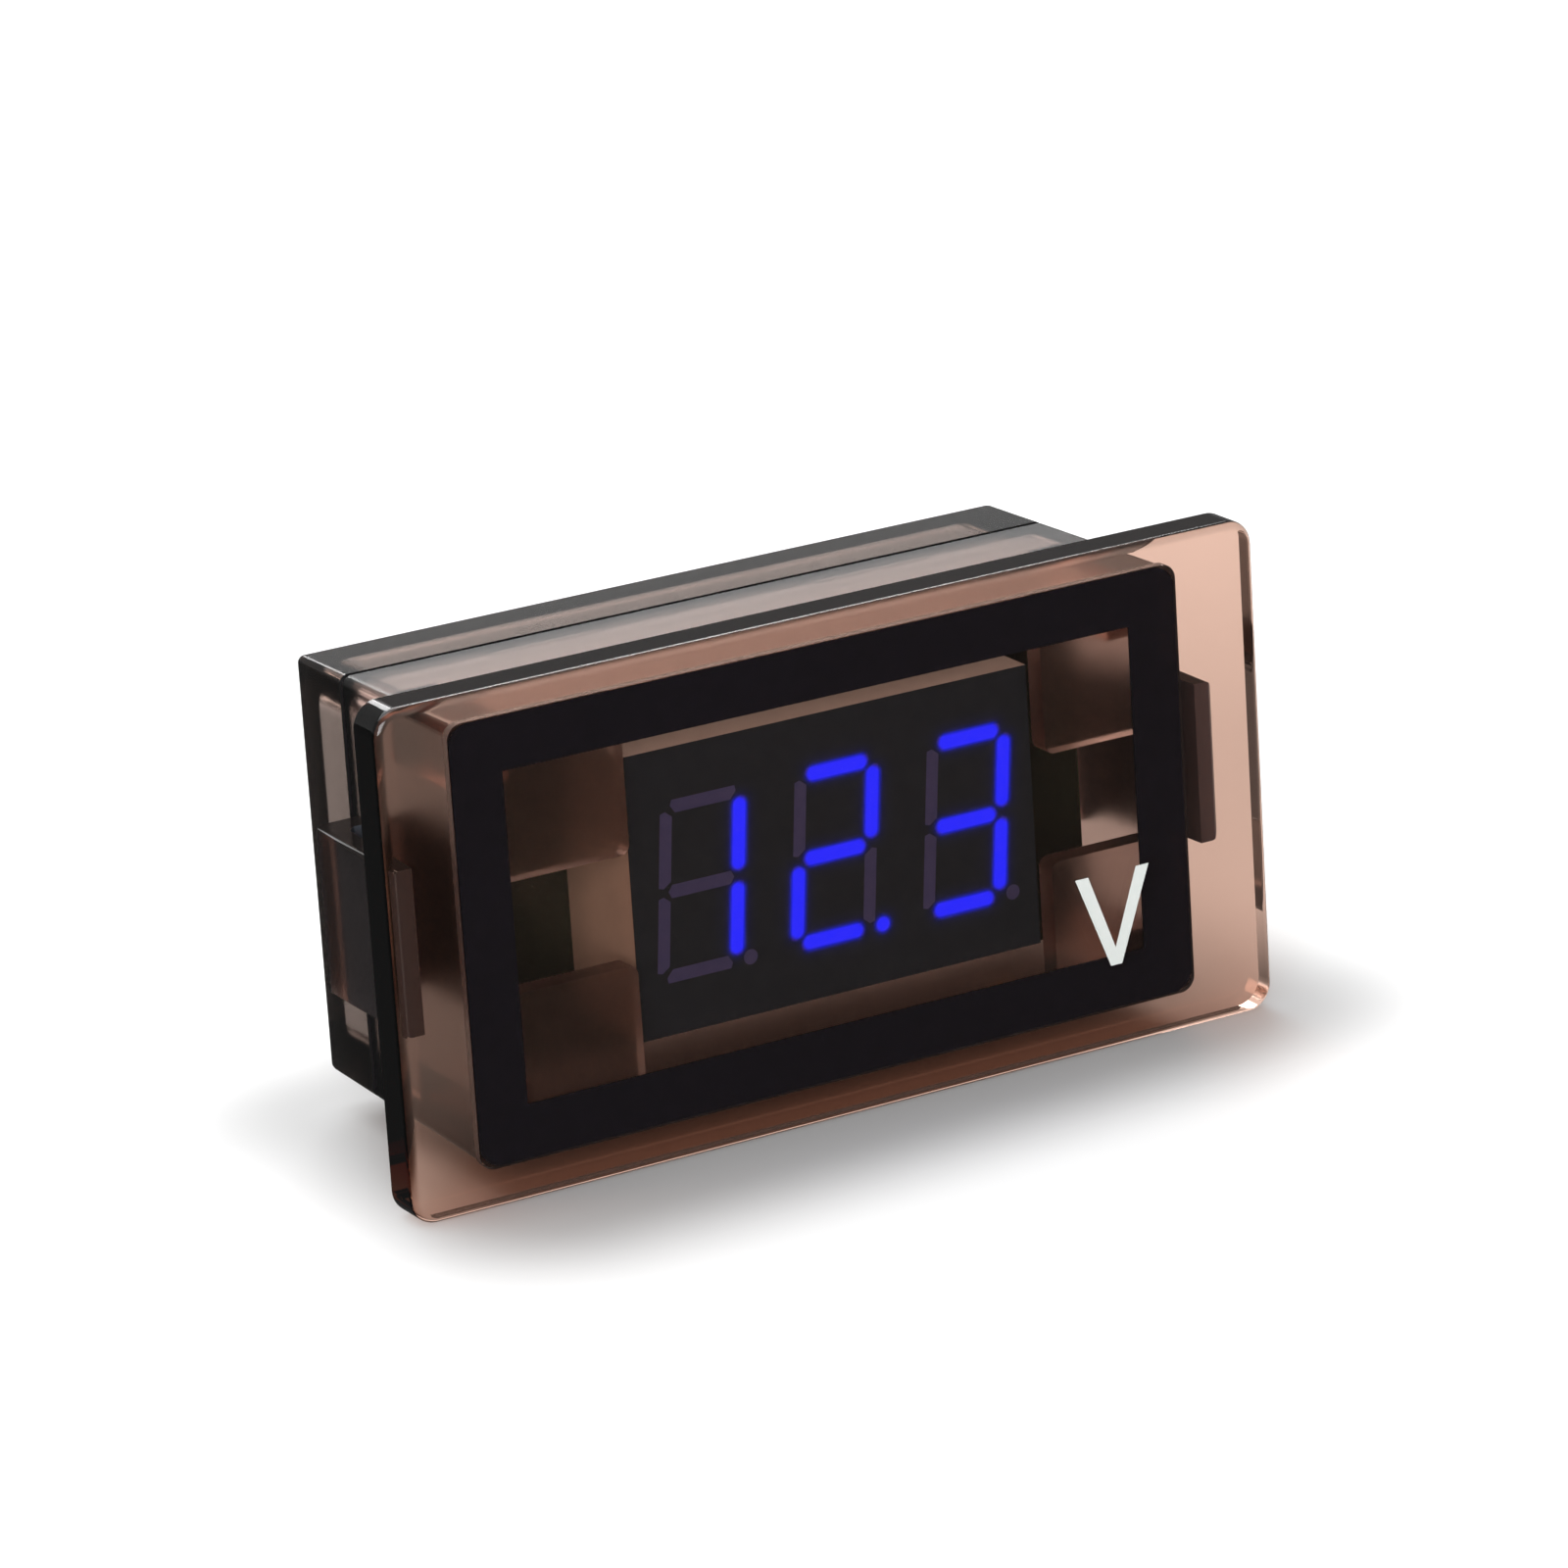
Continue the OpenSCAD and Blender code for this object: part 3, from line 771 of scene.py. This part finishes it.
@dataclass
class WindowPrint:
    """The printed border in the bezel's pocket and the unit mark on the bezel's face."""

    mark_from_right: float = 8.99 * MM
    mark_from_bottom: float = 4.25 * MM
    mark_width: float = 4.22 * MM
    mark_height: float = 4.78 * MM
    mark_foot: float = 0.64 * MM
    mark_arm: float = 0.74 * MM
    mark_crotch: float = 0.9 * MM
    ink_depth: float = 0.008 * MM
    ink_thickness: float = 0.02 * MM
    border: Finish = Finish(
        "border_ink", (0.004, 0.009, 0.022), (0.006, 0.011, 0.027), mottle=1500.0,
        roughness=0.45, spread=0.1, wave=900.0, grain=6000.0, bump=0.02, specular=0.1)
    ink: Finish = Finish(
        "mark_ink", (0.94, 0.99, 0.97), (0.9, 0.97, 0.95), mottle=2500.0, roughness=0.5,
        spread=0.1, wave=900.0, grain=7000.0, bump=0.04)

    def build(self, palette: Palette) -> None:
        """Dresses the border and builds the unit mark.

        Args:
            palette: makes the finishes.
        """
        palette.dress("printed_frame", self.border)
        low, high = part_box("bezel")
        mark = self._letter(high.x - self.mark_from_right, low.z + self.mark_from_bottom,
                            low.y + self.ink_depth)
        mark.data.materials.append(palette.material(self.ink))
        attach(mark, BODY)
        log.info("unit_mark built, %d faces", len(mark.data.polygons))

    def _letter(self, middle: float, foot: float, front: float) -> bpy.types.Object:
        """Builds the letter V as a thin solid of ink.

        Args:
            middle: its middle along X.
            foot: its lowest height.
            front: the ink's front along Y.

        Returns:
            The new piece.
        """
        half, top, sole = self.mark_width / 2, foot + self.mark_height, self.mark_foot / 2
        outline = [(-half, top), (-sole, foot), (sole, foot), (half, top),
                   (half - self.mark_arm, top), (0.0, foot + self.mark_crotch),
                   (self.mark_arm - half, top)]
        work = bmesh.new()
        face = work.faces.new([work.verts.new((middle + x, front, z)) for x, z in outline])
        made = bmesh.ops.extrude_face_region(work, geom=[face])["geom"]
        moved = [v for v in made if isinstance(v, bmesh.types.BMVert)]
        bmesh.ops.translate(work, verts=moved, vec=(0, self.ink_thickness, 0))
        bmesh.ops.recalc_face_normals(work, faces=work.faces)
        return new_piece("unit_mark", work)


@dataclass
class DisplayModule:
    """The three-digit display: its shell, resin bars, points, own board and pins."""

    face_grid: float = 0.14 * MM
    bar_grid: float = 0.1 * MM
    lit: tuple[str, ...] = ("digit_1_lit", "digit_2_lit", "digit_3_lit", "lit_point")
    dark: tuple[str, ...] = ("digit_1_dark", "digit_2_dark", "digit_3_dark", "dark_points")
    white: Finish = Finish(
        "reflector_white", (0.5, 0.49, 0.46), (0.44, 0.43, 0.41), mottle=400.0, roughness=0.5,
        grain=3000.0)
    # The display's black face print, with a painted glow where the light of the lit bars reaches
    # it.
    face: GlowFinish = GlowFinish(
        "face_ink_and_painted_glow", (0.011, 0.024, 0.04), (0.014, 0.029, 0.047), mottle=1200.0, roughness=0.6,
        wave=500.0, grain=5000.0, specular=0.15)
    lit_resin: GlowFinish = GlowFinish(
        "lit_resin", (0.02, 0.025, 0.08), (0.03, 0.03, 0.1), mottle=2500.0, roughness=0.35,
        spread=0.1, wave=900.0, grain=6000.0, bump=0.03)
    dark_resin: Finish = Finish(
        "dark_resin", (0.05, 0.075, 0.24), (0.06, 0.085, 0.26), mottle=2500.0, roughness=0.35,
        spread=0.1, wave=900.0, grain=6000.0, bump=0.03)
    board: Laminate = Laminate("pale_laminate", (0.62, 0.57, 0.38), (0.72, 0.67, 0.48))
    pin: Finish = Finish(
        "tinned_pin", (0.72, 0.72, 0.7), (0.62, 0.62, 0.6), mottle=3000.0, roughness=0.28,
        spread=0.2, wave=900.0, grain=7000.0, metallic=1.0)

    def build(self, palette: Palette) -> None:
        """Dresses the display and spreads the light of its lit bars.

        Args:
            palette: makes the finishes.
        """
        light = LampField(self.lit)
        light.read(palette.solids)
        shell = fine_front(palette.solids["display_shell"], "display_face", self.face_grid)
        shell.data.materials.append(palette.material(self.white))
        shell.data.materials.append(palette.material(self.face))
        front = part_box("display_shell")[0].y + FLUSH
        for polygon in shell.data.polygons:
            polygon.material_index = int(polygon.center.y < front)
        self._finish_piece(shell, light, "display_shell")
        for name in self.lit:
            bars = fine_front(palette.solids[name], name + "_glow", self.bar_grid)
            bars.data.materials.append(palette.material(self.lit_resin))
            self._finish_piece(bars, light, name)
        for name in self.dark:
            palette.dress(name, self.dark_resin)
        palette.dress("display_board", self.board)
        palette.dress("display_pins", self.pin)

    @staticmethod
    def _finish_piece(piece: bpy.types.Object, light: LampField, node: str) -> None:
        """Paints a piece with the light of the lit bars and puts it in its solid's place.

        Args:
            piece: the piece.
            light: the light of the lit bars.
            node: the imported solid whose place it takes.
        """
        light.paint(piece.data)
        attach(piece, BODY)
        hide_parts(node)
        log.info("%s built, %d faces", piece.name, len(piece.data.polygons))


@dataclass
class ControlBoard:
    """The circuit board behind the display, with its packages."""

    mask: Laminate = Laminate(
        "green_mask", (0.012, 0.026, 0.018), (0.0135, 0.029, 0.02), roughness=0.25, spread=0.1,
        grain=3000.0, coat=0.4)
    tin: Finish = Finish(
        "tinned_lead", (0.74, 0.74, 0.72), (0.6, 0.6, 0.58), mottle=2500.0, roughness=0.3,
        spread=0.2, wave=700.0, grain=6000.0, bump=0.1, metallic=1.0)
    gold: Finish = Finish(
        "gold_plate", (0.83, 0.62, 0.25), (0.75, 0.55, 0.22), mottle=2500.0, roughness=0.25,
        wave=700.0, grain=6000.0, metallic=1.0)
    black: Finish = Finish(
        "moulded_black", (0.02, 0.02, 0.022), (0.032, 0.032, 0.034), mottle=1500.0,
        roughness=0.55, spread=0.2, wave=900.0, grain=9000.0, bump=0.15)
    can: Finish = Finish(
        "drawn_aluminium", (0.76, 0.77, 0.79), (0.66, 0.67, 0.69), mottle=700.0,
        roughness=0.25, spread=0.2, wave=400.0, metallic=1.0)
    film: Finish = Finish(
        "thick_film", (0.015, 0.016, 0.02), (0.03, 0.03, 0.035), mottle=2500.0, roughness=0.3,
        wave=900.0, grain=6000.0)
    ceramic: Finish = Finish(
        "fired_ceramic", (0.42, 0.26, 0.14), (0.5, 0.33, 0.19), mottle=2500.0, wave=900.0,
        grain=6000.0)

    def build(self, palette: Palette) -> None:
        """Dresses the board and everything on it.

        Args:
            palette: makes the finishes.
        """
        finishes = {
            self.mask: ("circuit_board",), self.gold: ("lead_pads",), self.can: ("capacitor_can",),
            self.tin: ("solder_joints", "controller_leads", "regulator_leads", "diode_tabs",
                       "resistor_ends", "ceramic_ends"),
            self.black: ("controller_body", "regulator_body", "diode_body", "capacitor_base"),
            self.film: ("resistor_bodies",), self.ceramic: ("ceramic_bodies",)}
        for finish, names in finishes.items():
            for name in names:
                palette.dress(name, finish)


# ---- Studio ----


def surround_share(tree: Tree, glossy: float = 0.0) -> bpy.types.NodeSocket:
    """Tells how much of the white surround a ray shows.

    Args:
        tree: the tree of the floor or the world.
        glossy: the share for reflections.

    Returns:
        A socket with 1 for what is seen directly or through plastic, and glossy for reflections.
    """
    path = tree.add("LightPath")
    direct = tree.math("MAXIMUM", path.outputs["Is Camera Ray"],
                       path.outputs["Is Transmission Ray"])
    mirrored = tree.math("MULTIPLY", path.outputs["Is Glossy Ray"], glossy)
    return tree.math("MAXIMUM", direct, mirrored)


@dataclass
class Floor:
    """The pale floor. It keeps the object's shadow, and turns white away from it.

    The white starts around the object's footprint, which is made narrower by inset at each end,
    moved by shift along X and turned by turn about Z.
    """

    size: float = 6.0
    colour: Colour = (0.7, 0.7, 0.7)
    inset: float = 4.0 * MM
    shift: float = 2.0 * MM
    turn: float = 0.07
    white_from: float = 2.5 * MM
    white_to: float = 13.0 * MM
    camera_level: float = 0.5
    plastic_level: float = 0.08
    mirror_level: float = 0.06
    mirror_until: float = 0.02
    far_from: float = 0.04
    far_to: float = 0.3

    def build(self, height: float, box: tuple[Vector, Vector]) -> None:
        """Builds the floor.

        Args:
            height: the floor's height.
            box: the object's lowest and highest corners.
        """
        half = self.size / 2
        mesh = bpy.data.meshes.new("floor")
        corners = [(-half, -half, height), (half, -half, height),
                   (half, half, height), (-half, half, height)]
        mesh.from_pydata(corners, [], [(0, 1, 2, 3)])
        floor = bpy.data.objects.new("floor", mesh)
        bpy.context.scene.collection.objects.link(floor)
        mesh.materials.append(self._material(box))
        floor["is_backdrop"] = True
        log.info("floor built")

    def _material(self, box: tuple[Vector, Vector]) -> bpy.types.Material:
        """Builds the floor's material: one look for direct rays and one for reflections.

        Args:
            box: the object's lowest and highest corners.

        Returns:
            The new material.
        """
        material = bpy.data.materials.new("pale_floor")
        material.use_nodes = True
        material.node_tree.nodes.clear()
        tree = Tree(material.node_tree)
        place = tree.add("TexCoord")
        matt = tree.add("BsdfDiffuse", {"Color": self.colour})
        shine = tree.add("Emission")
        tree.join(self._whiteness(tree, place, box), shine, "Strength")
        direct = tree.add("AddShader")
        tree.link(matt, 0, direct, 0)
        tree.link(shine, 0, direct, 1)
        mirrored = tree.add("Emission")
        tree.join(self._mirror_light(tree, place), mirrored, "Strength")
        path = tree.add("LightPath")
        pick, out = tree.add("MixShader"), tree.add("OutputMaterial")
        tree.join(tree.math("MINIMUM", path.outputs["Glossy Depth"], 1.0), pick, 0)
        tree.link(direct, 0, pick, 1)
        tree.link(mirrored, 0, pick, 2)
        tree.link(pick, 0, out, "Surface")
        return material

    def _whiteness(self, tree: Tree, place: bpy.types.Node, box: tuple[Vector, Vector]
                   ) -> bpy.types.NodeSocket:
        """Returns the floor's own light, which whitens it near the object and far from it.

        Args:
            tree: the floor's tree.
            place: its coordinates.
            box: the object's lowest and highest corners.

        Returns:
            The socket with the strength.
        """
        reach = tree.add("VectorMath", operation="LENGTH")
        tree.link(place, "Object", reach, 0)
        far = tree.add("MapRange", {"From Min": self.far_from, "From Max": self.far_to})
        tree.link(reach, "Value", far, 0)
        level = tree.add("MapRange", {"To Min": self.plastic_level,
                                      "To Max": self.camera_level})
        tree.link(tree.add("LightPath"), "Is Camera Ray", level, 0)
        near = tree.math("MULTIPLY", level.outputs[0], self._clear_of_object(tree, place, box))
        white = tree.math("MAXIMUM", far.outputs[0], near)
        return tree.math("MULTIPLY", white, surround_share(tree))

    def _clear_of_object(self, tree: Tree, place: bpy.types.Node, box: tuple[Vector, Vector]
                         ) -> bpy.types.NodeSocket:
        """Returns a value that rises from 0 at the object's footprint to 1 clear of it.

        Args:
            tree: the floor's tree.
            place: its coordinates.
            box: the object's lowest and highest corners.

        Returns:
            The socket with the value.
        """
        middle, half = (box[0] + box[1]) / 2, (box[1] - box[0]) / 2
        # The footprint's Z is as good as endless, so that only X and Y count.
        footprint = (half.x - self.inset, half.y, 1.0)
        turned = tree.add("Mapping", {"Location": (middle.x + self.shift, middle.y, 0.0),
                                      "Rotation": (0.0, 0.0, self.turn)},
                          vector_type="TEXTURE")
        fold = tree.add("VectorMath", operation="ABSOLUTE")
        past = tree.add("VectorMath", {1: footprint}, operation="SUBTRACT")
        outside = tree.add("VectorMath", {1: (0.0, 0.0, 0.0)}, operation="MAXIMUM")
        reach = tree.add("VectorMath", operation="LENGTH")
        tree.link(place, "Object", turned, 0)
        chain = (turned, fold, past, outside, reach)
        for source, target in zip(chain, chain[1:]):
            tree.link(source, 0, target, 0)
        white = tree.add("MapRange", {"From Min": self.white_from, "From Max": self.white_to},
                         interpolation_type="SMOOTHSTEP")
        tree.link(reach, "Value", white, 0)
        return white.outputs[0]

    def _mirror_light(self, tree: Tree, place: bpy.types.Node) -> bpy.types.NodeSocket:
        """Returns the floor's light in reflections.

        It is dim, so that polished faces stay dark, but white behind the object for what is
        seen through its plastic.

        Args:
            tree: the floor's tree.
            place: its coordinates.

        Returns:
            The socket with the strength.
        """
        path = tree.add("LightPath")
        inner = tree.math("MINIMUM", path.outputs["Transmission Depth"], 1.0)
        split = tree.add("SeparateXYZ")
        tree.link(place, "Object", split, 0)
        behind = tree.add("MapRange", {"From Min": 0.0, "From Max": self.mirror_until})
        tree.link(split, "Y", behind, 0)
        level = tree.add("MapRange", {"To Min": self.mirror_level, "To Max": 1.0})
        tree.join(tree.math("MULTIPLY", inner, behind.outputs[0]), level, 0)
        return level.outputs[0]


@dataclass(frozen=True)
class SoftLamp:
    """One large square lamp that points at the object."""

    name: str
    power: float
    size: float
    place: Place

    def build(self) -> None:
        """Hangs the lamp."""
        data = bpy.data.lights.new(self.name, "AREA")
        data.shape = "SQUARE"
        data.size = self.size
        data.energy = self.power
        lamp = bpy.data.objects.new(self.name, data)
        lamp.location = self.place
        lamp.rotation_mode = "QUATERNION"
        lamp.rotation_quaternion = (-Vector(self.place)).to_track_quat("-Z", "Y")
        bpy.context.scene.collection.objects.link(lamp)
        log.info("%s lamp hung", self.name)


@dataclass
class Studio:
    """The floor, the soft lamps and the even white surround."""

    ambient: float = 0.24
    sky_level: float = 0.15
    diffuse_bounces: int = 2
    ray_bounces: int = 8
    clear_bounces: int = 10
    floor: Floor = field(default_factory=Floor)
    lamps: tuple[SoftLamp, ...] = (
        SoftLamp("key", 3.4, 0.7, (-0.14, 0.24, 0.67)),
        SoftLamp("back", 1.9, 0.35, (0.2, 0.5, 0.42)),
        SoftLamp("fill", 6.2, 0.5, (-0.42, -0.6, 0.16)))

    def build(self) -> None:
        """Builds the floor, the lamps and the world."""
        scene = bpy.context.scene
        scene.view_settings.view_transform = "Standard"
        scene.cycles.diffuse_bounces = self.diffuse_bounces
        scene.cycles.transmission_bounces = self.ray_bounces
        scene.cycles.max_bounces = self.ray_bounces
        scene.cycles.transparent_max_bounces = self.clear_bounces
        self.floor.build(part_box("bezel")[0].z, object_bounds())
        for lamp in self.lamps:
            lamp.build()
        self._world()

    def _world(self) -> None:
        """Builds the even surround: plain light for the object, white where it is seen."""
        world = bpy.data.worlds.new("surround")
        bpy.context.scene.world = world
        world.use_nodes = True
        world.node_tree.nodes.clear()
        tree = Tree(world.node_tree)
        path = tree.add("LightPath")
        dimmed = tree.math("MULTIPLY", path.outputs["Is Glossy Ray"],
                           self.sky_level - self.ambient)
        light = tree.add("Background", {"Color": (1.0, 1.0, 1.0)})
        tree.join(tree.math("ADD", dimmed, self.ambient), light, "Strength")
        white = tree.add("Background", {"Color": (1.0, 1.0, 1.0), "Strength": 1.0})
        mix, out = tree.add("MixShader"), tree.add("OutputWorld")
        tree.join(surround_share(tree, self.sky_level), mix, 0)
        tree.link(light, 0, mix, 1)
        tree.link(white, 0, mix, 2)
        tree.link(mix, 0, out, "Surface")
        log.info("surround built")


@dataclass
class Camera:
    """The camera in front of the object, to its left and above it. Angles are in degrees."""

    place: Place = (-0.16773, -0.30037, 0.11338)
    tilt: float = 72.281
    roll: float = 3.556
    turn: float = -30.075
    lens: float = 173.9
    sensor: float = 36.0
    near: float = 0.01
    far: float = 20.0

    def build(self) -> None:
        """Builds the camera and makes it the scene's own."""
        data = bpy.data.cameras.new("camera")
        data.lens, data.sensor_width = self.lens, self.sensor
        data.clip_start, data.clip_end = self.near, self.far
        camera = bpy.data.objects.new("camera", data)
        angles = Euler([radians(angle) for angle in (self.tilt, self.roll, self.turn)])
        camera.matrix_world = Matrix.Translation(self.place) @ angles.to_matrix().to_4x4()
        bpy.context.scene.collection.objects.link(camera)
        bpy.context.scene.camera = camera
        log.info("camera built")


def main() -> None:
    """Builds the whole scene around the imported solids."""
    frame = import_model()
    Camera().build()
    palette = Palette(EffectLibrary(), frame["nodes"])
    for part in (Housing(), WindowPrint(), DisplayModule(), ControlBoard()):
        part.build(palette)
    Studio().build()


if __name__ == "__main__":
    main()
